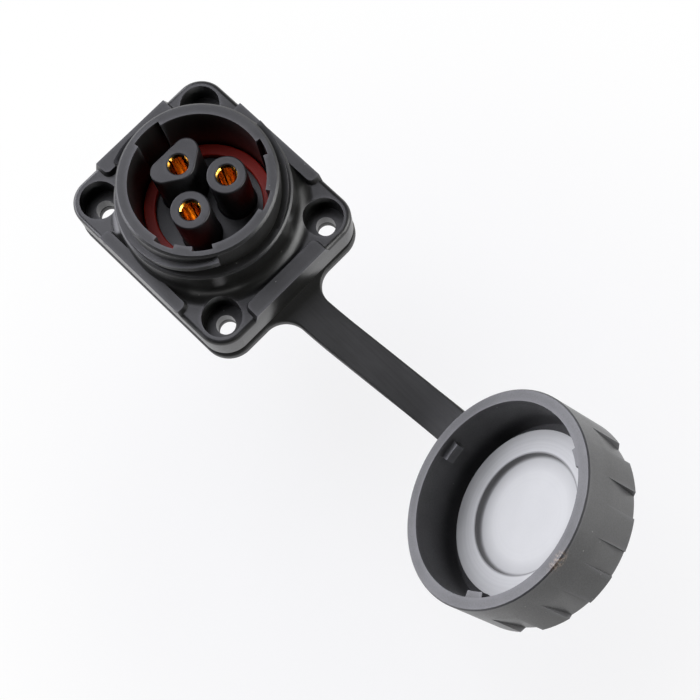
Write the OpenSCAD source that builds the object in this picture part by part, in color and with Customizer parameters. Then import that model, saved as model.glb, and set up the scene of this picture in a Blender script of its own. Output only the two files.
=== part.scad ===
// Panel socket with a rectangular flange, a bayonet barrel and a tethered dust cap.
// The panel is the plane z = 0, the socket axis is Z and the strap leaves along X.

/* [Flange] */
// Screw hole spacing along the strap direction
hole_pitch_x = 28.4; // [27:0.2:34]
// Screw hole spacing across the strap direction
hole_pitch_y = 22.6; // [22:0.2:28]
// Distance from a screw hole to the flange edge, also the corner radius
flange_margin = 4.4; // [4:0.1:6]
// Thickness of the flange
flange_t = 7; // [6:0.25:10]
// Diameter of the screw holes
screw_d = 3.2; // [2.6:0.1:4.4]
// Diameter of the counterbore for a screw head
head_d = 6.5; // [5.6:0.1:7]
// Depth of the counterbore
head_depth = 4.5; // [2:0.25:5]
// Rounding of the upper flange edge
flange_edge = 0.8; // [0.3:0.1:1]
// Width of the raised bars across the strap direction
bar_x_w = 3; // [1.8:0.1:3.4]
// Width of the raised bars along the strap direction
bar_y_w = 2.3; // [1.8:0.1:3]
// Height of the raised bars
bar_h = 1.2; // [0.6:0.1:2]
// Base length of the bars across the strap direction
bar_x_len = 15.8; // [10:0.2:18]
// Base length of the bars along the strap direction
bar_y_len = 18.8; // [10:0.2:22]

/* [Barrel] */
// Height of the rim above the flange
barrel_h = 12.7; // [11:0.1:18]
// Outer diameter of the rim
rim_d = 25; // [24:0.1:25.4]
// Inner diameter of the mouth
mouth_d = 21.3; // [20.8:0.1:22]
// Depth of the keyways into the mouth wall
keyway_depth = 0.75; // [0.3:0.05:0.9]
// Drop from the rim to the shoulder under the bayonet track
shoulder_drop = 5.5; // [4.6:0.1:6.5]
// Diameter of the shoulder
shoulder_d = 28; // [27.8:0.1:29]
// Radius of the sweep from the shoulder into the flange
sweep_r = 2.6; // [2:0.1:5]

/* [Bayonet] */
// Outer diameter over the bayonet ridges
ridge_d = 26.9; // [26.6:0.1:27.8]
// Drop from the rim to the front of a ridge at its blunt end
ridge_drop = 0.7; // [0.5:0.1:1.2]
// Thickness of a ridge along the axis
ridge_t = 1.5; // [1:0.1:2]
// Angle of the first blunt end
ridge_start = 90; // [60:1:110]
// Fall of a ridge for each turned degree
ridge_fall = 0.064; // [0.05:0.002:0.09]

/* [Contacts] */
// Radius of the circle of contacts
contact_circle_r = 4.45; // [4.3:0.05:4.8]
// Diameter of the two round towers
tower_d = 6.2; // [6:0.1:6.6]
// Drop from the rim to the tower tops
tower_drop = 1.4; // [1:0.1:4]
// Diameter of the pin entry in a tower
entry_d = 3.3; // [3.1:0.1:3.6]
// Bore of a contact
pin_d = 2.8; // [2.5:0.05:2.9]
// Outer diameter of a contact
contact_d = 4.2; // [4:0.1:4.4]

/* [Gasket and strap] */
// Thickness of the gasket under the flange
gasket_t = 1.8; // [1.5:0.1:3]
// Overhang of the gasket past the flange
gasket_lip = 0.15; // [0.05:0.05:0.6]
// Width of the strap
strap_w = 6.1; // [4:0.1:8]
// Thickness of the strap
strap_t = 1.8; // [1.2:0.1:2]
// Fillet radius where the strap leaves the gasket
root_fillet = 4; // [2:0.5:6]
// Length of the strap along X before its bend
strap_run = 27; // [24:0.2:40]
// Sideways swing of the strap from X
strap_swing = 4.4; // [-8:0.2:8]
// Radius of the bend towards the cap
strap_bend_r = 22.8; // [15:0.2:40]
// Lean of the cap back towards the socket
cap_lean = 39.5; // [10:0.5:60]
// Sideways roll of the cap
cap_roll = 18.3; // [-20:0.1:20]

/* [Cap] */
// Outer diameter of the cap
cap_d = 32; // [31.6:0.1:34]
// Thickness of the cap wall
cap_wall_t = 1.95; // [1.5:0.05:2.2]
// Height of the cap
cap_h = 11.6; // [11.2:0.1:14]
// Thickness of the cap floor
cap_floor_t = 2.8; // [2.6:0.1:4]
// Reach of the lugs inwards from the cap wall
lug_reach = 1; // [0.6:0.05:1.3]
// Number of grip scoops
grip_count = 12; // [6:1:16]
// Depth of a grip scoop at the back edge
grip_depth = 0.9; // [0.6:0.1:1.5]
// Length of a grip scoop
grip_len = 7.5; // [4:0.1:8]

/* [Hidden] */
$fn = 96;
eps = 0.01;
// Overlap of joined solids, and how far a cut runs past a face
overlap = 1;

// Levels above the panel plane
face_z = gasket_t + flange_t;
rim_z = face_z + barrel_h;
shoulder_z = rim_z - shoulder_drop;
tower_z = rim_z - tower_drop;

// Barrel radii
rim_r = rim_d / 2;
mouth_r = mouth_d / 2;
shoulder_r = shoulder_d / 2;
rim_edge = 0.35;
shoulder_edge = 0.3;

// Flange outline
flange_x = hole_pitch_x + 2 * flange_margin;
flange_y = hole_pitch_y + 2 * flange_margin;
flange_foot_inset = 0.7;
flange_foot_h = 1.6;
bar_draft = 0.4;
bar_corner = 1.2;

// Keyways as [start angle, end angle], counted from the strap direction
keyways = [[167.5, 193], [17, 34], [64, 78], [-47.5, -31.5], [-78.5, -62]];

// Bayonet ridges: a ridge ends where its front face has sunk into the shoulder
ridge_count = 3;
ridge_r = ridge_d / 2;
ridge_root = 0.6;
ridge_root_r = rim_r - ridge_root;
ridge_sink = 0.3;
ridge_span = (shoulder_drop - ridge_drop + ridge_sink) / ridge_fall;

// Rear spigot, which passes through the panel, and the bore for the insert
fit_gap = 0.15;
spigot_r = 12.2;
spigot_len = 6;
spigot_edge = 0.5;
insert_r = 9.8;
insert_flange_r = 10.5;
insert_step_z = -0.8;
insert_back_z = -3.2;
collar_t = 1.2;
collar_r = 2.7;
retainer_t = 1.3;
retainer_front_z = insert_back_z - collar_t;

// Contacts
contact_angles = [60, -60, 180];
entry_depth = 0.5;
contact_front_z = tower_z - entry_depth;
contact_bore_depth = 9;
mouth_flare = 0.3;
slit_w = 0.25;
slit_turn = 20;
slit_depth = 6.5;
cup_r = 2;
cup_bore_r = 1.2;
cup_len = 6.5;
cup_bore_depth = 5;
cup_back_z = retainer_front_z - cup_len;
cup_cut_len = 2.6;
bean_narrowing = 0.9;
bean_core_d = tower_d - bean_narrowing;
bean_lobe_r = 1.95;
bean_lobe_x = 0.9;
bean_lobe_y = 2.5;

// Interface seal on the cavity floor
seal_ring_w = 1.9;
seal_ring_t = 1.4;

// Strap path: a run that swings sideways, a rolled bend and a flat end behind the cap
strap_mid_z = gasket_t / 2;
swing_len = 10;
roll_start = 10;
strap_root_x = flange_x / 2 + gasket_lip;
strap_bend_len = strap_bend_r * cap_lean * PI / 180;
strap_tail = cap_d / 2;
strap_len = strap_run + strap_bend_len + strap_tail;
strap_step = 1.6;
strap_edge = 0.4;
eye_r = 6.4;
eye_t = 2.1;

// Rivet through the strap eye and the cap floor
rivet_r = 2;
rivet_gap = 0.2;
rivet_hole_r = rivet_r + rivet_gap;
rivet_head_r = 4;
rivet_head_t = 1.3;
rivet_head_taper = 0.8;
clinch_r = 3;
clinch_t = 0.8;
clinch_taper = 0.4;
clinch_pocket_r = 3.4;
clinch_pocket_depth = 1.2;
washer_r = 5.2;
washer_t = 0.6;
touch_gap = 0.05;
cap_back_z = eye_t / 2 + touch_gap;

// Cap profile
cap_r = cap_d / 2;
cap_bore_r = cap_r - cap_wall_t;
cap_back_edge = 1;
cap_rim_edge = 0.2;
cap_mouth_edge = 0.15;
cap_mouth_depth = 1.5;
lug_count = 3;
lug_tip_r = cap_bore_r - lug_reach;
lug_drop = 1.2;
lug_t = 1.5;
lug_root = 0.5;
lug_angle = 12;
lug_first = 62;
grip_share = 0.45;
grip_angle = 360 / grip_count * grip_share;
grip_first = 14;

// Cap seal
cap_seal_gap = 1.55;
cap_seal_r = cap_bore_r - cap_seal_gap;
cap_seal_t = 1.8;
cap_seal_ring_w = 3.5;
cap_seal_recess_r = cap_seal_r - cap_seal_ring_w;
cap_seal_floor_t = 0.8;
cap_seal_fillet = 0.5;

// Strap path, measured along its middle from the gasket edge
function bend_angle(s) = min(max(s - strap_run, 0), strap_bend_len) / strap_bend_r * 180 / PI;
function past_bend(s) = max(s - strap_run - strap_bend_len, 0);
function swing_angle(s) = atan(tan(strap_swing) * min(s / swing_len, 1));
function swing_side(s) = tan(strap_swing) * (s < swing_len ? s * s / (2 * swing_len) : s - swing_len / 2);
function smooth(t) = t * t * (3 - 2 * t);
function strap_roll(s) = cap_roll
    * smooth(min(max((s - roll_start) / (strap_run + strap_bend_len - roll_start), 0), 1));

function turn_x(p, angle) = [p[0],
    p[1] * cos(angle) - p[2] * sin(angle), p[1] * sin(angle) + p[2] * cos(angle)];
function turn_z(p, angle) = [
    p[0] * cos(angle) - p[1] * sin(angle), p[0] * sin(angle) + p[1] * cos(angle), p[2]];

// One point of the strap: v across it and w through its thickness
function strap_point(s, v, w) = let(
    run = min(s, strap_run),
    bend = bend_angle(s),
    bent = [(strap_bend_r - w) * sin(bend) + past_bend(s) * cos(bend), v,
        strap_bend_r - (strap_bend_r - w) * cos(bend) + past_bend(s) * sin(bend)])
    [strap_root_x + run, swing_side(run), strap_mid_z]
        + turn_z(turn_x(bent, strap_roll(s)), swing_angle(run));

// A rectangle with cut corners, centred on the origin
function cut_rectangle(w, h, c) = [
    [w / 2, h / 2 - c], [w / 2 - c, h / 2], [c - w / 2, h / 2], [-w / 2, h / 2 - c],
    [-w / 2, c - h / 2], [c - w / 2, -h / 2], [w / 2 - c, -h / 2], [w / 2, c - h / 2]];

// Closed solid through rings of points that all have the same count
module ring_sweep(rings) {
    n = len(rings[0]);
    last = len(rings) - 1;
    side = [for (i = [0:last - 1], j = [0:n - 1]) let(
        a = i * n + j, b = i * n + (j + 1) % n, c = a + n, d = b + n)
        each [[a, c, b], [b, c, d]]];
    front = [[for (j = [0:n - 1]) j]];
    back = [[for (j = [0:n - 1]) last * n + n - 1 - j]];
    polyhedron([for (ring = rings) each ring], concat(side, front, back));
}

module plate_outline(x, y, r) {
    square([x - 2 * r, y], center = true);
    square([x, y - 2 * r], center = true);
    for (i = [-1, 1], j = [-1, 1])
        translate([i * (x / 2 - r), j * (y / 2 - r)])
            circle(r);
}

module at_screws() {
    for (i = [-1, 1], j = [-1, 1])
        translate([i * hole_pitch_x / 2, j * hole_pitch_y / 2, 0])
            children();
}

// Part of a ring, from radius r0 to r1 between two angles
module ring_sector(r0, r1, h, from, to) {
    rotate([0, 0, from])
        rotate_extrude(angle = to - from)
            translate([r0, 0])
                square([r1 - r0, h]);
}

// Half section of the flange, from its middle to an edge with a sloping foot and a rounded top
module flange_section(reach) {
    side_top = flange_t - flange_edge;
    polygon([[0, 0], [reach - flange_foot_inset, 0], [reach, flange_foot_h],
        [reach, side_top], [0, side_top]]);
    translate([0, flange_foot_h])
        square([reach - flange_edge, flange_t - flange_foot_h]);
    translate([reach - flange_edge, side_top])
        circle(flange_edge);
}

// Flange plate: straight runs between four turned corner posts
module flange_plate() {
    translate([0, 0, gasket_t]) {
        for (i = [0, 1])
            rotate([0, 0, 180 * i]) {
                rotate([90, 0, 90])
                    linear_extrude(hole_pitch_x, center = true)
                        flange_section(flange_y / 2);
                rotate([90, 0, 0])
                    linear_extrude(hole_pitch_y, center = true)
                        flange_section(flange_x / 2);
            }
        at_screws()
            rotate_extrude()
                flange_section(flange_margin);
    }
}

// Raised bar along X against an edge at y = 0, with sloping ends, inner side and inner corners
module edge_bar(length, width) {
    half = length / 2;
    foot_spread = bar_draft * flange_edge / bar_h;
    foot = half + foot_spread;
    top = half - bar_draft;
    translate([0, 0, face_z]) {
        rotate([90, 0, 0])
            linear_extrude(width - bar_corner)
                polygon([[-foot, -flange_edge], [foot, -flange_edge], [top, bar_h], [-top, bar_h]]);
        rotate([90, 0, 90])
            linear_extrude(length - 2 * bar_corner, center = true)
                polygon([[0, -flange_edge], [-width - foot_spread, -flange_edge],
                    [bar_draft - width, bar_h], [0, bar_h]]);
        for (i = [-1, 1])
            translate([i * (half - bar_corner), bar_corner - width, 0])
                cylinder(r1 = bar_corner, r2 = bar_corner - bar_draft, h = bar_h);
    }
}

module flange_bars() {
    for (i = [0, 1])
        rotate([0, 0, 180 * i]) {
            translate([0, flange_y / 2, 0])
                edge_bar(bar_y_len, bar_y_w);
            rotate([0, 0, 90])
                translate([0, flange_x / 2, 0])
                    edge_bar(bar_x_len, bar_x_w);
        }
}

// Barrel, shoulder, sweep into the flange and rear spigot, turned as one solid
module barrel_blank() {
    sweep_z = face_z + sweep_r;
    rotate_extrude()
        difference() {
            polygon([[0, -spigot_len], [spigot_r - spigot_edge, -spigot_len],
                [spigot_r, spigot_edge - spigot_len], [spigot_r, face_z - overlap],
                [shoulder_r + sweep_r, face_z - overlap],
                [shoulder_r + sweep_r, sweep_z], [shoulder_r, sweep_z],
                [shoulder_r, shoulder_z - shoulder_edge], [shoulder_r - shoulder_edge, shoulder_z],
                [rim_r, shoulder_z], [rim_r, rim_z - rim_edge], [rim_r - rim_edge, rim_z], [0, rim_z]]);
            translate([shoulder_r + sweep_r, sweep_z])
                circle(sweep_r);
        }
}

// Bayonet ridge that falls clockwise from its blunt end: a slice of a ring between two slanted planes
module bayonet_ridge() {
    half_span = ridge_span / 2;
    half_fall = ridge_fall * half_span;
    slant = atan(half_fall / (ridge_r * sin(half_span)));
    rotate([0, 0, -half_span])
        intersection() {
            ring_sector(ridge_root_r, ridge_r, rim_z, -half_span, half_span);
            translate([0, 0, rim_z - ridge_drop - ridge_t - half_fall])
                rotate([slant, 0, 0])
                    translate([0, -shoulder_r, 0])
                        cube([shoulder_r, shoulder_d, ridge_t * cos(slant)]);
        }
}

module housing() {
    color([0.2, 0.2, 0.21])
        difference() {
            union() {
                flange_plate();
                intersection() {
                    barrel_blank();
                    translate([0, 0, -spigot_len])
                        linear_extrude(spigot_len + rim_z)
                            plate_outline(flange_x, flange_y, flange_margin);
                }
                flange_bars();
                for (i = [0:ridge_count - 1])
                    rotate([0, 0, ridge_start - 360 / ridge_count * i])
                        bayonet_ridge();
            }
            translate([0, 0, face_z])
                cylinder(r = mouth_r, h = barrel_h + overlap);
            translate([0, 0, -spigot_len - overlap])
                cylinder(r = insert_r + fit_gap, h = spigot_len + face_z + 2 * overlap);
            translate([0, 0, -spigot_len - overlap])
                cylinder(r = insert_flange_r + fit_gap, h = spigot_len + overlap + insert_step_z);
            for (k = keyways)
                translate([0, 0, face_z + seal_ring_t])
                    ring_sector(mouth_r - overlap, mouth_r + keyway_depth, barrel_h, k[0], k[1]);
            at_screws() {
                translate([0, 0, gasket_t - overlap])
                    cylinder(d = screw_d, h = flange_t + 2 * overlap);
                translate([0, 0, face_z - head_depth])
                    cylinder(d = head_d, h = head_depth + sweep_r);
            }
        }
}

// Outline of the broad tower, whose flat side faces the mouth wall
module bean_outline() {
    hull() {
        circle(d = bean_core_d, $fn = 48);
        for (j = [-1, 1])
            translate([bean_lobe_x, j * bean_lobe_y])
                circle(bean_lobe_r, $fn = 48);
    }
}

module at_contact(i) {
    rotate([0, 0, contact_angles[i]])
        translate([contact_circle_r, 0, 0])
            children();
}

module contact_insert() {
    color([0.33, 0.33, 0.34])
        difference() {
            union() {
                translate([0, 0, insert_back_z])
                    cylinder(r = insert_r, h = face_z - insert_back_z);
                translate([0, 0, insert_back_z])
                    cylinder(r = insert_flange_r, h = insert_step_z - insert_back_z);
                for (i = [0, 1])
                    at_contact(i)
                        translate([0, 0, face_z - overlap])
                            cylinder(d = tower_d, h = tower_z - face_z + overlap);
                at_contact(2)
                    translate([0, 0, face_z - overlap])
                        linear_extrude(tower_z - face_z + overlap)
                            bean_outline();
            }
            for (i = [0:2])
                at_contact(i) {
                    translate([0, 0, insert_back_z - overlap])
                        cylinder(d = contact_d + fit_gap, h = contact_front_z - insert_back_z + overlap);
                    translate([0, 0, contact_front_z - overlap])
                        cylinder(d = entry_d, h = entry_depth + 2 * overlap);
                }
        }
}

// Turned female contact with a slit mouth, a collar and a solder cup
module contact() {
    r = contact_d / 2;
    bore_r = pin_d / 2;
    color([0.85, 0.55, 0.1])
        difference() {
            rotate_extrude()
                polygon([[0, cup_back_z], [cup_r, cup_back_z], [cup_r, retainer_front_z],
                    [collar_r, retainer_front_z], [collar_r, insert_back_z], [r, insert_back_z],
                    [r, contact_front_z], [bore_r + mouth_flare, contact_front_z],
                    [bore_r, contact_front_z - mouth_flare],
                    [bore_r, contact_front_z - contact_bore_depth],
                    [0, contact_front_z - contact_bore_depth]]);
            translate([0, 0, cup_back_z - overlap])
                cylinder(r = cup_bore_r, h = cup_bore_depth + overlap);
            translate([cup_r, 0, cup_back_z])
                cube([2 * cup_r, 4 * cup_r, 2 * cup_cut_len], center = true);
            for (i = [0, 1])
                rotate([0, 0, slit_turn + 90 * i])
                    translate([-contact_d, -slit_w / 2, contact_front_z - slit_depth])
                        cube([2 * contact_d, slit_w, slit_depth + overlap]);
        }
}

module contact_a() {
    at_contact(0)
        contact();
}

module contact_b() {
    at_contact(1)
        contact();
}

module contact_c() {
    at_contact(2)
        contact();
}

module interface_seal() {
    color([0.5, 0.1, 0.08])
        translate([0, 0, face_z])
            difference() {
                cylinder(r = mouth_r - fit_gap, h = seal_ring_t);
                translate([0, 0, -overlap])
                    cylinder(r = mouth_r - fit_gap - seal_ring_w, h = seal_ring_t + 2 * overlap);
            }
}

// Disc that holds the contact collars against the insert
module contact_retainer() {
    color([0.16, 0.16, 0.17])
        difference() {
            translate([0, 0, retainer_front_z - retainer_t])
                cylinder(r = insert_flange_r, h = retainer_t);
            for (i = [0:2])
                at_contact(i)
                    translate([0, 0, retainer_front_z - retainer_t - overlap])
                        cylinder(r = cup_r + fit_gap, h = retainer_t + 2 * overlap);
        }
}

// Frame at the strap eye, whose Z is the axis of the cap
module at_eye() {
    translate([strap_root_x + strap_run, swing_side(strap_run), strap_mid_z])
        rotate([cap_roll, 0, swing_angle(strap_run)])
            translate([strap_bend_r * sin(cap_lean), 0, strap_bend_r * (1 - cos(cap_lean))])
                rotate([0, -cap_lean, 0])
                    translate([strap_tail, 0, 0])
                        children();
}

// Gasket outline with the filleted root of the strap
module gasket_outline() {
    plate_outline(flange_x + 2 * gasket_lip, flange_y + 2 * gasket_lip, flange_margin + gasket_lip);
    translate([strap_root_x - eps, 0])
        difference() {
            translate([0, -strap_w / 2 - root_fillet])
                square([root_fillet, strap_w + 2 * root_fillet]);
            for (j = [-1, 1])
                translate([root_fillet, j * (strap_w / 2 + root_fillet)])
                    circle(root_fillet);
        }
}

module strap_body() {
    first = root_fillet - overlap;
    steps = ceil((strap_len - first) / strap_step);
    section = cut_rectangle(strap_w, strap_t, strap_edge);
    ring_sweep([for (i = [0:steps]) let(s = first + (strap_len - first - eye_r / 2) * i / steps)
        [for (p = section) strap_point(s, p[0], p[1])]]);
}

module gasket_strap() {
    color([0.12, 0.12, 0.12])
        difference() {
            union() {
                linear_extrude(gasket_t)
                    gasket_outline();
                strap_body();
                at_eye()
                    translate([0, 0, -eye_t / 2])
                        cylinder(r = eye_r, h = eye_t);
            }
            translate([0, 0, -overlap])
                cylinder(r = spigot_r + fit_gap, h = gasket_t + 2 * overlap);
            at_screws()
                translate([0, 0, -overlap])
                    cylinder(d = screw_d, h = gasket_t + 2 * overlap);
            at_eye()
                translate([0, 0, -eye_t])
                    cylinder(r = rivet_hole_r, h = 2 * eye_t);
        }
}

module strap_rivet() {
    head_z = -eye_t / 2 - washer_t - 2 * touch_gap;
    clinch_z = cap_back_z + cap_floor_t - clinch_pocket_depth + touch_gap;
    color([0.6, 0.6, 0.62])
        at_eye() {
            translate([0, 0, head_z - rivet_head_t])
                cylinder(r1 = rivet_head_r - rivet_head_taper, r2 = rivet_head_r, h = rivet_head_t);
            translate([0, 0, head_z - eps])
                cylinder(r = rivet_r, h = clinch_z + clinch_t - head_z + eps);
            translate([0, 0, clinch_z])
                cylinder(r1 = clinch_r, r2 = clinch_r - clinch_taper, h = clinch_t);
        }
}

module rivet_washer() {
    color([0.66, 0.66, 0.67])
        at_eye()
            translate([0, 0, -eye_t / 2 - touch_gap - washer_t])
                difference() {
                    cylinder(r = washer_r, h = washer_t);
                    translate([0, 0, -overlap])
                        cylinder(r = rivet_hole_r, h = washer_t + 2 * overlap);
                }
}

// Cap in its own frame: the back at z = 0 and the mouth towards +Z
module cap_blank() {
    rotate_extrude()
        polygon([[0, 0], [cap_r - cap_back_edge, 0], [cap_r, cap_back_edge],
            [cap_r, cap_h - cap_rim_edge], [cap_r - cap_rim_edge, cap_h],
            [cap_bore_r + cap_mouth_edge, cap_h], [cap_bore_r, cap_h - cap_mouth_depth],
            [cap_bore_r, cap_floor_t], [0, cap_floor_t]]);
}

// Scoop that deepens towards the back edge of the cap
module grip_scoop() {
    rotate([0, 0, -grip_angle / 2])
        rotate_extrude(angle = grip_angle)
            polygon([[cap_r - grip_depth, -eps], [cap_r + overlap, -eps],
                [cap_r + overlap, grip_len], [cap_r, grip_len]]);
}

module cap_shell() {
    color([0.3, 0.3, 0.31])
        at_eye()
            translate([0, 0, cap_back_z]) {
                difference() {
                    cap_blank();
                    for (i = [0:grip_count - 1])
                        rotate([0, 0, grip_first + 360 / grip_count * i])
                            grip_scoop();
                    translate([0, 0, -overlap])
                        cylinder(r = rivet_hole_r, h = cap_floor_t + 2 * overlap);
                    translate([0, 0, cap_floor_t - clinch_pocket_depth])
                        cylinder(r = clinch_pocket_r, h = clinch_pocket_depth + overlap);
                }
                for (i = [0:lug_count - 1])
                    translate([0, 0, cap_h - lug_drop - lug_t])
                        ring_sector(lug_tip_r, cap_bore_r + lug_root, lug_t,
                            lug_first + 360 / lug_count * i - lug_angle / 2,
                            lug_first + 360 / lug_count * i + lug_angle / 2);
            }
}

module cap_seal() {
    fillet_r = cap_seal_recess_r - cap_seal_fillet;
    color([0.8, 0.81, 0.83])
        at_eye()
            translate([0, 0, cap_back_z + cap_floor_t])
                rotate_extrude()
                    difference() {
                        square([cap_seal_r, cap_seal_t]);
                        translate([0, cap_seal_floor_t])
                            square([fillet_r, cap_seal_t]);
                        translate([0, cap_seal_floor_t + cap_seal_fillet])
                            square([cap_seal_recess_r, cap_seal_t]);
                        translate([fillet_r, cap_seal_floor_t + cap_seal_fillet])
                            circle(cap_seal_fillet);
                    }
}

housing();
contact_insert();
contact_a();
contact_b();
contact_c();
interface_seal();
contact_retainer();
gasket_strap();
strap_rivet();
rivet_washer();
cap_shell();
cap_seal();
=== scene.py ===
import math

import bmesh
import bpy
from mathutils import Matrix, Vector


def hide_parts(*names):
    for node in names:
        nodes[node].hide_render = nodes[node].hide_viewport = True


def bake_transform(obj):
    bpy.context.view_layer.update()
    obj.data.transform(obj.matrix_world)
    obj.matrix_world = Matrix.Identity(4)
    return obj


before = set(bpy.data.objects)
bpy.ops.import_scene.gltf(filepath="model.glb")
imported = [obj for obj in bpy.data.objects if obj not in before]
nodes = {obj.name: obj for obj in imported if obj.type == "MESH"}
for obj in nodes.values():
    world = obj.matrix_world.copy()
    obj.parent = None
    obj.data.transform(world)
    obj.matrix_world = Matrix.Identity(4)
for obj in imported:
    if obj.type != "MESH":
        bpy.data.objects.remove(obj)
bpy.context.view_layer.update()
scene = bpy.context.scene
MM = 0.001
# Scale of a wave pattern that repeats once in each unit of length
WAVE = math.pi / 10

# Sizes in millimetres that the rubber moulding and the finishes share with the solids
PLATE_X, PLATE_Y, PLATE_CORNER = 37.5, 31.7, 4.55
SPIGOT_HOLE_R, SCREW_HOLE_R, RIVET_HOLE_R = 12.35, 1.6, 2.2
SCREW_X, SCREW_Y = 14.2, 11.3
GASKET_T, STRAP_W, EYE_R, EYE_T = 1.8, 6.1, 6.4, 2.1
ROOT_FILLET, EYE_FILLET, EDGE_R = 4.0, 4.0, 0.35
ROOT_X, RUN, SWING_LEN = PLATE_X / 2, 27.0, 10.0
BEND_R, ROLL_START, TAIL = 22.8, 10.0, 16.0
SWING, LEAN, ROLL = math.radians(4.4), math.radians(39.5), math.radians(18.3)
BEND_LEN = BEND_R * LEAN
STRAP_LEN = RUN + BEND_LEN + TAIL
# How far before the eye's middle the strap starts to thicken, and over what length
THICKEN_FROM, THICKEN_LEN = 9.0, 3.0
# The stretch of the strap that flexes, from the gasket's edge, and the length of a mesh slice
FLEX_FROM, FLEX_TO, SLICE = 4.0, 24.0, 0.8
# The knocked place on the cap: the rim's height over the eye, its radius and its angle
RIM_Z, KNOCK_R, KNOCK_AZ = 12.7, 15.9, math.radians(2.0)


def smooth(t):
    t = min(max(t, 0.0), 1.0)
    return t * t * (3 - 2 * t)


def rolled(point):
    """Where a point of the flat gasket and strap lies once the strap is swung, rolled and bent."""
    x, y, z = point
    s = x - ROOT_X
    if s <= 0:
        return Vector(point)
    run = min(s, RUN)
    bend = min(max(s - RUN, 0.0), BEND_LEN) / BEND_R
    past = max(s - RUN - BEND_LEN, 0.0)
    thick = smooth((s - STRAP_LEN + THICKEN_FROM) / THICKEN_LEN)
    w = (z - GASKET_T / 2) * (1 + (EYE_T / GASKET_T - 1) * thick)
    bent = Vector(((BEND_R - w) * math.sin(bend) + past * math.cos(bend), y,
                   BEND_R - (BEND_R - w) * math.cos(bend) + past * math.sin(bend)))
    heading = math.atan(math.tan(SWING) * min(run / SWING_LEN, 1))
    side = run * run / (2 * SWING_LEN) if run < SWING_LEN else run - SWING_LEN / 2
    roll = ROLL * smooth((s - ROLL_START) / (RUN + BEND_LEN - ROLL_START))
    turn = Matrix.Rotation(heading, 3, "Z") @ Matrix.Rotation(roll, 3, "X")
    return Vector((ROOT_X + run, math.tan(SWING) * side, GASKET_T / 2)) + turn @ bent


# The cap's own frame: the middle of the strap's eye, and the turn that takes Z to the cap's axis
EYE = rolled((ROOT_X + STRAP_LEN, 0, GASKET_T / 2))
CAP_TURN = (Matrix.Rotation(SWING, 3, "Z") @ Matrix.Rotation(ROLL, 3, "X")
            @ Matrix.Rotation(-LEAN, 3, "Y"))
# Where the cap's rim was knocked, and the turn that takes Y along the rim there
KNOCK_TURN = CAP_TURN @ Matrix.Rotation(KNOCK_AZ, 3, "Z")
KNOCK = EYE + KNOCK_TURN @ Vector((KNOCK_R, 0, RIM_Z))


# Colour and node helpers

def linear(hex_colour):
    """sRGB hex to the linear colour that the shaders use."""
    values = [int(hex_colour[i:i + 2], 16) / 255 for i in (1, 3, 5)]
    return [v / 12.92 if v <= 0.04045 else ((v + 0.055) / 1.055) ** 2.4 for v in values] + [1.0]


def per(size_mm):
    """Texture scale at which one feature is this many millimetres across."""
    return 1 / (size_mm * MM)


def add(tree, kind, inputs=None, **settings):
    """Adds one node, sets its options, and sets or links its inputs."""
    node = tree.nodes.new(kind)
    for name, value in settings.items():
        setattr(node, name, value)
    for name, value in (inputs or {}).items():
        if isinstance(value, bpy.types.NodeSocket):
            tree.links.new(value, node.inputs[name])
        else:
            node.inputs[name].default_value = value
    return node


def new_material(name):
    """An empty material, its node tree and the coordinates that its patterns are drawn in."""
    material = bpy.data.materials.new(name)
    material.use_nodes = True
    tree = material.node_tree
    tree.nodes.clear()
    return material, tree, add(tree, "ShaderNodeTexCoord").outputs["Object"]


# Materials

def knocked_patch(tree, where, colour, at, turn):
    """The colour with a brown, flaking patch over it where the rim was knocked."""
    # The patch is about 4 mm along the rim and 2 mm across it
    patch = add(tree, "ShaderNodeMapping", {
        "Vector": where, "Location": at * MM, "Rotation": turn.to_euler("XYZ"),
        "Scale": (1.1 * MM, 2.1 * MM, 1.1 * MM)}, vector_type="TEXTURE").outputs["Vector"]
    far = add(tree, "ShaderNodeVectorMath", {0: patch}, operation="LENGTH").outputs["Value"]
    near = add(tree, "ShaderNodeMapRange", {
        "Value": far, "From Min": 1.1, "From Max": 0.5}).outputs["Result"]
    flakes = add(tree, "ShaderNodeTexNoise", {
        "Vector": where, "Scale": per(0.5), "Detail": 4.0}).outputs["Fac"]
    bare = add(tree, "ShaderNodeMapRange", {
        "Value": flakes, "From Min": 0.42, "From Max": 0.5, "To Max": 0.85}).outputs["Result"]
    bare = add(tree, "ShaderNodeMath", {0: near, 1: bare}, operation="MULTIPLY").outputs["Value"]
    chips = add(tree, "ShaderNodeTexNoise", {
        "Vector": where, "Scale": per(0.3), "Detail": 2.0}).outputs["Fac"]
    chips = add(tree, "ShaderNodeMapRange", {
        "Value": chips, "From Min": 0.42, "From Max": 0.6}).outputs["Result"]
    brown = add(tree, "ShaderNodeMix", {
        0: chips, 6: linear("#3d2f27"), 7: linear("#8f8375")}, data_type="RGBA").outputs[2]
    return add(tree, "ShaderNodeMix", {0: bare, 6: colour, 7: brown}, data_type="RGBA").outputs[2]


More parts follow.
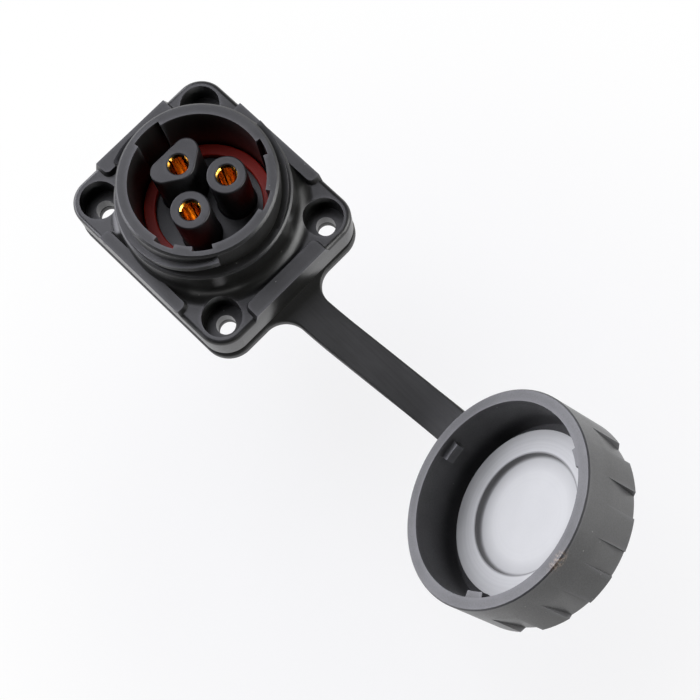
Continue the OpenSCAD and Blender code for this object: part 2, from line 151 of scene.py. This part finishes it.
def moulded_nylon(name, shade, light, edge_highlight_colour, roughness, knock=None):
    """Glass-filled nylon from a spark-eroded mould: a dull grain that spreads highlights, faint
    flow clouds from the fill, a few pale flecks of fibre, a painted highlight that makes the
    edges paler, and a brown knocked patch where its place and turn are given."""
    material, tree, where = new_material(name)
    clouds = add(tree, "ShaderNodeTexNoise", {
        "Vector": where, "Scale": per(7), "Detail": 6.0}).outputs["Fac"]
    # The real grain is about 0.08 mm; it is drawn at 0.2 mm so that it shows
    grain = add(tree, "ShaderNodeTexNoise", {
        "Vector": where, "Scale": per(0.2), "Detail": 2.0}).outputs["Fac"]
    tone = add(tree, "ShaderNodeMath", {0: clouds, 1: grain}, operation="ADD").outputs["Value"]
    tone = add(tree, "ShaderNodeMapRange", {
        "Value": tone, "From Min": 0.75, "From Max": 1.25}).outputs["Result"]
    colour = add(tree, "ShaderNodeMix", {
        0: tone, 6: linear(shade), 7: linear(light)}, data_type="RGBA").outputs[2]
    # Fibre ends are a few hundredths of a millimetre; the flecks are drawn at 0.2 mm so that
    # they show
    cells = add(tree, "ShaderNodeTexVoronoi", {"Vector": where, "Scale": per(1.4)})
    near = add(tree, "ShaderNodeMath", {
        0: cells.outputs["Distance"], 1: 0.07}, operation="LESS_THAN").outputs["Value"]
    rare = add(tree, "ShaderNodeMath", {
        0: cells.outputs["Color"], 1: 0.72}, operation="GREATER_THAN").outputs["Value"]
    fleck = add(tree, "ShaderNodeMath", {0: near, 1: rare}, operation="MULTIPLY").outputs["Value"]
    pale = add(tree, "ShaderNodeMath", {0: fleck, 1: 0.45}, operation="MULTIPLY").outputs["Value"]
    colour = add(tree, "ShaderNodeMix", {
        0: pale, 6: colour, 7: linear("#9a9a96")}, data_type="RGBA").outputs[2]
    # Painted highlight: outer edges within 0.8 mm or so of a corner are painted paler
    inside = add(tree, "ShaderNodeAmbientOcclusion", {"Distance": 0.8 * MM}, inside=True,
                 only_local=True, samples=6).outputs["AO"]
    edge = add(tree, "ShaderNodeMapRange", {
        "Value": inside, "From Min": 0.9, "From Max": 0.45}).outputs["Result"]
    colour = add(tree, "ShaderNodeMix", {
        0: edge, 6: colour, 7: linear(edge_highlight_colour)}, data_type="RGBA").outputs[2]
    if knock:
        colour = knocked_patch(tree, where, colour, *knock)
    gloss = add(tree, "ShaderNodeMapRange", {
        "Value": tone, "To Min": roughness + 0.05, "To Max": roughness - 0.05}).outputs["Result"]
    bump = add(tree, "ShaderNodeBump", {"Height": grain, "Strength": 0.25, "Distance": 0.02 * MM})
    shader = add(tree, "ShaderNodeBsdfPrincipled", {
        "Base Color": colour, "Roughness": gloss, "IOR": 1.53, "Normal": bump.outputs["Normal"]})
    add(tree, "ShaderNodeOutputMaterial", {"Surface": shader.outputs["BSDF"]})
    return material


def moulded_neoprene():
    """Neoprene pressed in a polished mould: nearly black, a soft broad sheen, and faint streaks
    along the strap where the rubber flowed."""
    material, tree, where = new_material("moulded_neoprene")
    along = add(tree, "ShaderNodeMapping", {
        "Vector": where, "Scale": (0.06, 1.0, 1.0)}).outputs["Vector"]
    streaks = add(tree, "ShaderNodeTexNoise", {
        "Vector": along, "Scale": per(0.35), "Detail": 3.0}).outputs["Fac"]
    clouds = add(tree, "ShaderNodeTexNoise", {
        "Vector": where, "Scale": per(6), "Detail": 2.0}).outputs["Fac"]
    tone = add(tree, "ShaderNodeMath", {0: streaks, 1: clouds}, operation="ADD").outputs["Value"]
    tone = add(tree, "ShaderNodeMapRange", {
        "Value": tone, "From Min": 0.7, "From Max": 1.3}).outputs["Result"]
    colour = add(tree, "ShaderNodeMix", {
        0: tone, 6: linear("#20201f"), 7: linear("#292928")}, data_type="RGBA").outputs[2]
    gloss = add(tree, "ShaderNodeMapRange", {
        "Value": tone, "To Min": 0.56, "To Max": 0.46}).outputs["Result"]
    # The mould's grain is under 0.1 mm; it is drawn at 0.3 mm so that it shows
    grain = add(tree, "ShaderNodeTexNoise", {
        "Vector": where, "Scale": per(0.3), "Detail": 2.0}).outputs["Fac"]
    height = add(tree, "ShaderNodeMath", {0: grain, 1: streaks}, operation="ADD").outputs["Value"]
    bump = add(tree, "ShaderNodeBump", {"Height": height, "Strength": 0.2, "Distance": 0.02 * MM})
    shader = add(tree, "ShaderNodeBsdfPrincipled", {
        "Base Color": colour, "Roughness": gloss, "IOR": 1.52, "Normal": bump.outputs["Normal"]})
    add(tree, "ShaderNodeOutputMaterial", {"Surface": shader.outputs["BSDF"]})
    return material


def moulded_silicone(name, bands, roughness, at=(0, 0, 0), turn=Matrix.Identity(3)):
    """Silicone rubber from a turned mould: a soft, slightly chalky face with fine, uneven tool
    rings about the middle of the piece. The bands give its colour outwards, with any painted
    shade, as radius in mm and colour."""
    material, tree, where = new_material(name)
    own = add(tree, "ShaderNodeMapping", {
        "Vector": where, "Location": Vector(at) * MM, "Rotation": turn.to_euler("XYZ")},
        vector_type="TEXTURE").outputs["Vector"]
    flat = add(tree, "ShaderNodeVectorMath", {
        0: own, 1: (1, 1, 0)}, operation="MULTIPLY").outputs["Vector"]
    out = add(tree, "ShaderNodeVectorMath", {0: flat}, operation="LENGTH").outputs["Value"]
    edge = bands[-1][0]
    share = add(tree, "ShaderNodeMath", {
        0: out, 1: edge * MM}, operation="DIVIDE").outputs["Value"]
    ramp = add(tree, "ShaderNodeValToRGB", {"Fac": share})
    stops = ramp.color_ramp.elements
    stops[0].color, stops[1].color = linear(bands[0][1]), linear(bands[-1][1])
    for radius, shade in bands[1:-1]:
        stops.new(radius / edge).color = linear(shade)
    clouds = add(tree, "ShaderNodeTexNoise", {
        "Vector": where, "Scale": per(6), "Detail": 3.0}).outputs["Fac"]
    # Tool rings of about 0.15 mm are drawn at 0.4 mm so that they show
    rings = add(tree, "ShaderNodeTexNoise", {
        "W": out, "Scale": per(0.4), "Detail": 2.0}, noise_dimensions="1D").outputs["Fac"]
    # They stand out on the outer ring, which is pressed on, and stay faint inside it
    pressed = add(tree, "ShaderNodeMapRange", {
        "Value": share, "From Min": 0.7, "From Max": 0.76, "To Min": 0.2}).outputs["Result"]
    rings = add(tree, "ShaderNodeMath", {
        0: rings, 1: pressed}, operation="MULTIPLY").outputs["Value"]
    tone = add(tree, "ShaderNodeMath", {0: clouds, 1: rings}, operation="ADD").outputs["Value"]
    tone = add(tree, "ShaderNodeMapRange", {
        "Value": tone, "From Min": 0.4, "From Max": 1.3, "To Min": 1.0,
        "To Max": 0.88}).outputs["Result"]
    colour = add(tree, "ShaderNodeMix", {
        0: 1.0, 6: ramp.outputs["Color"], 7: tone}, data_type="RGBA",
        blend_type="MULTIPLY").outputs[2]
    bump = add(tree, "ShaderNodeBump", {"Height": rings, "Strength": 0.3, "Distance": 0.03 * MM})
    gloss = add(tree, "ShaderNodeMapRange", {
        "Value": clouds, "To Min": roughness + 0.06, "To Max": roughness - 0.06}).outputs["Result"]
    shader = add(tree, "ShaderNodeBsdfPrincipled", {
        "Base Color": colour, "Roughness": gloss, "IOR": 1.41, "Normal": bump.outputs["Normal"]})
    add(tree, "ShaderNodeOutputMaterial", {"Surface": shader.outputs["BSDF"]})
    return material


def gold_plated_brass():
    """Brass turned on a lathe, slit into spring fingers and gold plated: a bright deep yellow
    metal with fine tool rings, darker streaks along the bore and a tarnished tone here and there."""
    material, tree, where = new_material("gold_plated_brass")
    # Tool rings of about 0.1 mm are drawn at 0.25 mm so that they show
    rings = add(tree, "ShaderNodeTexWave", {
        "Vector": where, "Scale": per(0.25) * WAVE, "Distortion": 0.6},
        wave_type="BANDS", bands_direction="Z").outputs["Fac"]
    along = add(tree, "ShaderNodeMapping", {
        "Vector": where, "Scale": (1.0, 1.0, 0.07)}).outputs["Vector"]
    tarnish = add(tree, "ShaderNodeTexNoise", {
        "Vector": along, "Scale": per(0.6), "Detail": 3.0}).outputs["Fac"]
    tarnish = add(tree, "ShaderNodeMapRange", {
        "Value": tarnish, "From Min": 0.34, "From Max": 0.6}).outputs["Result"]
    colour = add(tree, "ShaderNodeMix", {
        0: tarnish, 6: linear("#bf7a20"), 7: linear("#f3c057")}, data_type="RGBA").outputs[2]
    gloss = add(tree, "ShaderNodeMapRange", {
        "Value": tarnish, "To Min": 0.32, "To Max": 0.14}).outputs["Result"]
    bump = add(tree, "ShaderNodeBump", {"Height": rings, "Strength": 0.12, "Distance": 0.01 * MM})
    shader = add(tree, "ShaderNodeBsdfPrincipled", {
        "Base Color": colour, "Roughness": gloss, "Metallic": 1.0,
        "Normal": bump.outputs["Normal"]})
    add(tree, "ShaderNodeOutputMaterial", {"Surface": shader.outputs["BSDF"]})
    return material


def tumbled_stainless_steel():
    """Stainless steel, pressed and tumbled: grey metal with a soft mottled gloss."""
    material, tree, where = new_material("tumbled_stainless_steel")
    mottle = add(tree, "ShaderNodeTexNoise", {
        "Vector": where, "Scale": per(0.5), "Detail": 4.0}).outputs["Fac"]
    colour = add(tree, "ShaderNodeMix", {
        0: mottle, 6: linear("#9b9a97"), 7: linear("#c8c7c4")}, data_type="RGBA").outputs[2]
    gloss = add(tree, "ShaderNodeMapRange", {
        "Value": mottle, "To Min": 0.26, "To Max": 0.44}).outputs["Result"]
    bump = add(tree, "ShaderNodeBump", {"Height": mottle, "Strength": 0.1, "Distance": 0.02 * MM})
    shader = add(tree, "ShaderNodeBsdfPrincipled", {
        "Base Color": colour, "Roughness": gloss, "Metallic": 1.0,
        "Normal": bump.outputs["Normal"]})
    add(tree, "ShaderNodeOutputMaterial", {"Surface": shader.outputs["BSDF"]})
    return material


# The third colour of each is the painted highlight on its rounded edges
housing_nylon = moulded_nylon("moulded_nylon_housing", "#161615", "#1e1e1d", "#454547", 0.33)
insert_nylon = moulded_nylon("moulded_nylon_insert", "#1c1c1d", "#242425", "#2e2e30", 0.38)
cap_nylon = moulded_nylon("moulded_nylon_cap", "#393939", "#474748", "#555557", 0.36,
                          knock=(KNOCK, KNOCK_TURN))
neoprene = moulded_neoprene()
# Plain in the middle; painted shade in the step's corner and, fainter, on the pressed-on outer ring
seal_bands_with_painted_shade = ((0, "#cdcecb"), (6.4, "#cbccc9"), (8.4, "#b5b6b4"), (8.88, "#7c7c7b"),
              (9.1, "#858584"), (9.3, "#c6c7c5"), (12.5, "#c2c3c1"))
grey_silicone = moulded_silicone("moulded_silicone_grey", seal_bands_with_painted_shade, 0.5, EYE, CAP_TURN)
red_silicone = moulded_silicone("moulded_silicone_red", ((0, "#aa1b0d"), (10, "#c42611")), 0.46)
gold = gold_plated_brass()
steel = tumbled_stainless_steel()


# Solids from the frame: softened edges and finishes

# Points this near are one, faces this near to flat are one, and edges this sharp are rounded
JOIN, FLAT_ANGLE, EDGE_ANGLE = 0.001 * MM, math.radians(0.2), math.radians(28)
EDGE_SEGMENTS = 3
# Share of a large face in the shading normals that it meets
NORMAL_WEIGHT = 80


def finish_solid(name, material, edge_mm):
    """Rounds the moulded or tumbled edges of a solid and gives it its material."""
    solid = nodes[name]
    solid.data.materials.clear()
    solid.data.materials.append(material)
    weld = solid.modifiers.new("join_faces", "WELD")
    weld.merge_threshold = JOIN
    flat = solid.modifiers.new("merge_flats", "DECIMATE")
    flat.decimate_type = "DISSOLVE"
    flat.angle_limit = FLAT_ANGLE
    bevel = solid.modifiers.new("round_edges", "BEVEL")
    bevel.width = edge_mm * MM
    bevel.segments = EDGE_SEGMENTS
    bevel.limit_method = "ANGLE"
    bevel.angle_limit = EDGE_ANGLE
    bevel.miter_outer = "MITER_ARC"
    normals = solid.modifiers.new("even_normals", "WEIGHTED_NORMAL")
    normals.keep_sharp = False
    normals.weight = NORMAL_WEIGHT


for name, material, edge_mm in (
    ("housing", housing_nylon, 0.25),
    ("contact_insert", insert_nylon, 0.25),
    ("contact_retainer", housing_nylon, 0.15),
    ("contact_a", gold, 0.05),
    ("contact_b", gold, 0.05),
    ("contact_c", gold, 0.05),
    ("interface_seal", red_silicone, 0.25),
    ("cap_shell", cap_nylon, 0.2),
    ("cap_seal", grey_silicone, 0.1),
    ("strap_rivet", steel, 0.2),
    ("rivet_washer", steel, 0.1),
):
    finish_solid(name, material, edge_mm)


# Gasket and strap: one flat moulding, rolled up along the strap's path

def arc(x, y, radius, start, end, step=4):
    """Points of an arc between two angles in degrees, about one step apart."""
    count = max(2, round(abs(end - start) / step))
    angles = [math.radians(start + (end - start) * i / count) for i in range(count + 1)]
    return [(x + radius * math.cos(a), y + radius * math.sin(a)) for a in angles]


def hole(x, y, radius, step):
    return arc(x, y, radius, 0, 360, step)[:-1]


def strap_side(start, end, y):
    count = round(abs(end - start) / SLICE)
    return [(start + (end - start) * i / count, y) for i in range(1, count)]


def gasket_outline():
    """Outline of the flat moulding, from the plate's corner round the strap's eye and back."""
    half_x, half_y = PLATE_X / 2 - PLATE_CORNER, PLATE_Y / 2 - PLATE_CORNER
    half_w = STRAP_W / 2
    root_y = half_w + ROOT_FILLET
    eye_x = ROOT_X + STRAP_LEN
    fillet_y = half_w + EYE_FILLET
    fillet_x = eye_x - math.sqrt((EYE_R + EYE_FILLET) ** 2 - fillet_y ** 2)
    turn = math.degrees(math.atan2(fillet_y, eye_x - fillet_x))
    points = arc(half_x, -half_y, PLATE_CORNER, -90, 0)
    points += arc(ROOT_X + ROOT_FILLET, -root_y, ROOT_FILLET, 180, 90)
    points += strap_side(ROOT_X + ROOT_FILLET, fillet_x, -half_w)
    points += arc(fillet_x, -fillet_y, EYE_FILLET, 90, turn)
    points += arc(eye_x, 0, EYE_R, turn - 180, 180 - turn)[1:-1]
    points += arc(fillet_x, fillet_y, EYE_FILLET, -turn, -90)
    points += strap_side(fillet_x, ROOT_X + ROOT_FILLET, half_w)
    points += arc(ROOT_X + ROOT_FILLET, root_y, ROOT_FILLET, 270, 180)
    for i, (sx, sy) in enumerate(((1, 1), (-1, 1), (-1, -1))):
        points += arc(sx * half_x, sy * half_y, PLATE_CORNER, 90 * i, 90 * i + 90)
    return points


def flat_moulding():
    """Mesh of the gasket and strap before rolling, in millimetres, with rounded edges and holes."""
    curve = bpy.data.curves.new("gasket_and_strap", "CURVE")
    curve.dimensions = "2D"
    curve.fill_mode = "BOTH"
    curve.bevel_depth = EDGE_R
    curve.bevel_resolution = 3
    curve.offset = -EDGE_R
    curve.extrude = GASKET_T / 2 - EDGE_R
    loops = [gasket_outline(), hole(0, 0, SPIGOT_HOLE_R, 4),
             hole(ROOT_X + STRAP_LEN, 0, RIVET_HOLE_R, 10)]
    loops += [hole(sx * SCREW_X, sy * SCREW_Y, SCREW_HOLE_R, 10)
              for sx in (-1, 1) for sy in (-1, 1)]
    for loop in loops:
        spline = curve.splines.new("POLY")
        spline.points.add(len(loop) - 1)
        for slot, (x, y) in zip(spline.points, loop):
            slot.co = (x, y, 0, 1)
        spline.use_cyclic_u = True
    flat = bpy.data.objects.new("flat_moulding", curve)
    scene.collection.objects.link(flat)
    bpy.context.view_layer.update()
    depsgraph = bpy.context.evaluated_depsgraph_get()
    mesh = bpy.data.meshes.new_from_object(flat.evaluated_get(depsgraph))
    bpy.data.objects.remove(flat)
    return mesh


def roll_up(mesh):
    """Slices the flat moulding across the strap and rolls it up along the strap's path."""
    bm = bmesh.new()
    bm.from_mesh(mesh)
    bmesh.ops.remove_doubles(bm, verts=bm.verts, dist=0.001)
    for i in range(int((STRAP_LEN + EYE_R) / SLICE)):
        bmesh.ops.bisect_plane(bm, geom=bm.verts[:] + bm.edges[:] + bm.faces[:], dist=1e-4,
                               plane_co=(ROOT_X + SLICE * i, 0, 0), plane_no=(1, 0, 0))
    for vert in bm.verts:
        vert.co = rolled(vert.co + Vector((0, 0, GASKET_T / 2))) * MM
    bmesh.ops.recalc_face_normals(bm, faces=bm.faces)
    bm.to_mesh(mesh)
    bm.free()


def make_gasket_strap():
    mesh = flat_moulding()
    roll_up(mesh)
    mesh.materials.clear()
    mesh.materials.append(neoprene)
    mesh.shade_smooth()
    piece = bpy.data.objects.new("gasket_and_strap", mesh)
    scene.collection.objects.link(piece)
    normals = piece.modifiers.new("even_normals", "WEIGHTED_NORMAL")
    normals.weight = NORMAL_WEIGHT
    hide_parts("gasket_strap")
    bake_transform(piece)


make_gasket_strap()


# Floor, light and camera, in metres

# The floor is far enough down for the cap to hang clear at the end of its swing
FLOOR_HALF, FLOOR_Z = 30.0, -60.0 * MM
# Where the shadow falls on the paper, how far it reaches, and how much of the paper is white there
SHADOW_MIDDLE, SHADOW_R, PLAIN_R, SHADOW_WHITE = (0.05, 0.0, 0.0), 0.03, 0.12, 0.6
# Heights, as shares of a full upward look, between which the walls fade, and their light
WALL_LOW, WALL_HIGH, WALL_LIGHT = 0.08, 0.2, 0.1
# What the lamps point at, and how far off they stand
LAMP_TARGET, LAMP_REACH = Vector((0.03, 0, 0.008)), 0.5
# The photograph's view, fitted to the circles of the rim, the mouth and the screw holes
CAMERA_AT = Vector((80.5, -29.5, 216.9)) * MM
CAMERA_RIGHT, CAMERA_BACK = Vector((0.712, 0.699, -0.069)), Vector((0.223, -0.131, 0.966))
CAMERA_LENS, CAMERA_SENSOR = 72, 36


def background_rays(tree):
    """1 for the rays that show the background: the camera's, mirror-like reflections and
    see-through ones."""
    path = add(tree, "ShaderNodeLightPath")
    seen = add(tree, "ShaderNodeMath", {
        0: path.outputs["Is Camera Ray"], 1: path.outputs["Is Glossy Ray"]},
        operation="MAXIMUM").outputs["Value"]
    return add(tree, "ShaderNodeMath", {
        0: seen, 1: path.outputs["Is Transmission Ray"]}, operation="MAXIMUM").outputs["Value"]


def white_paper():
    """White paper: it keeps the part's soft shadow near the part and is seen plain white farther
    out."""
    material, tree, where = new_material("white_paper")
    paper = add(tree, "ShaderNodeBsdfPrincipled", {
        "Base Color": linear("#e6e6e6"), "Roughness": 0.9})
    glow = add(tree, "ShaderNodeEmission", {"Color": (1, 1, 1, 1), "Strength": 1.0})
    far = add(tree, "ShaderNodeVectorMath", {
        0: where, 1: SHADOW_MIDDLE}, operation="DISTANCE").outputs["Value"]
    white = add(tree, "ShaderNodeMapRange", {
        "Value": far, "From Min": SHADOW_R, "From Max": PLAIN_R, "To Min": SHADOW_WHITE},
        interpolation_type="SMOOTHSTEP").outputs["Result"]
    share = add(tree, "ShaderNodeMath", {
        0: background_rays(tree), 1: white}, operation="MULTIPLY").outputs["Value"]
    mix = add(tree, "ShaderNodeMixShader", {
        "Fac": share, 1: paper.outputs["BSDF"], 2: glow.outputs["Emission"]})
    add(tree, "ShaderNodeOutputMaterial", {"Surface": mix.outputs["Shader"]})
    return material


def paper_floor():
    corners = [(FLOOR_HALF * sx, FLOOR_HALF * sy, 0)
               for sx, sy in ((-1, -1), (1, -1), (1, 1), (-1, 1))]
    mesh = bpy.data.meshes.new("floor")
    mesh.from_pydata(corners, [], [(0, 1, 2, 3)])
    mesh.materials.append(white_paper())
    floor = bpy.data.objects.new("floor", mesh)
    floor.location.z = FLOOR_Z
    scene.collection.objects.link(floor)


def studio_walls():
    """White walls low around the table and a dark ceiling; the walls give the part little light."""
    world = bpy.data.worlds.new("studio")
    scene.world = world
    world.use_nodes = True
    room = world.node_tree
    room.nodes.clear()
    towards = add(room, "ShaderNodeTexCoord").outputs["Generated"]
    look = add(room, "ShaderNodeSeparateXYZ", {"Vector": towards})
    white = add(room, "ShaderNodeMapRange", {
        "Value": background_rays(room), "To Min": WALL_LIGHT}).outputs["Result"]
    walls = add(room, "ShaderNodeMapRange", {
        "Value": look.outputs["Z"], "From Min": WALL_LOW, "From Max": WALL_HIGH,
        "To Min": white, "To Max": 0.0}, interpolation_type="SMOOTHSTEP").outputs["Result"]
    air = add(room, "ShaderNodeBackground", {"Color": (1, 1, 1, 1), "Strength": walls})
    add(room, "ShaderNodeOutputWorld", {"Surface": air.outputs["Background"]})


def soft_box(name, direction, wide, tall, watts, tint="#ffffff"):
    lamp = bpy.data.lights.new(name, "AREA")
    lamp.shape = "RECTANGLE"
    lamp.size = wide
    lamp.size_y = tall
    lamp.energy = watts
    lamp.color = linear(tint)[:3]
    box = bpy.data.objects.new(name, lamp)
    box.location = LAMP_TARGET + Vector(direction).normalized() * LAMP_REACH
    box.rotation_euler = (LAMP_TARGET - box.location).to_track_quat("-Z", "Y").to_euler()
    scene.collection.objects.link(box)


def photo_camera():
    camera = bpy.data.cameras.new("camera")
    camera.lens = CAMERA_LENS
    camera.sensor_width = CAMERA_SENSOR
    camera.clip_start = 0.01
    view = bpy.data.objects.new("camera", camera)
    right, back = CAMERA_RIGHT.normalized(), CAMERA_BACK.normalized()
    up = back.cross(right).normalized()
    right = up.cross(back)
    turn = Matrix((right, up, back)).transposed().to_4x4()
    view.matrix_world = Matrix.Translation(CAMERA_AT) @ turn
    scene.collection.objects.link(view)
    scene.camera = view


paper_floor()
studio_walls()
soft_box("key_box", (-0.45, -0.03, 0.89), 0.34, 0.34, 1.05, "#f5f5ff")
soft_box("left_box", (-0.88, -0.4, 0.26), 0.8, 0.3, 4.1, "#f5f5ff")
soft_box("right_box", (0.68, 0.54, 0.5), 0.36, 0.36, 2.1)
soft_box("back_box", (0.48, 0.84, 0.26), 0.3, 0.3, 0.5)
photo_camera()

scene.view_settings.view_transform = "Standard"
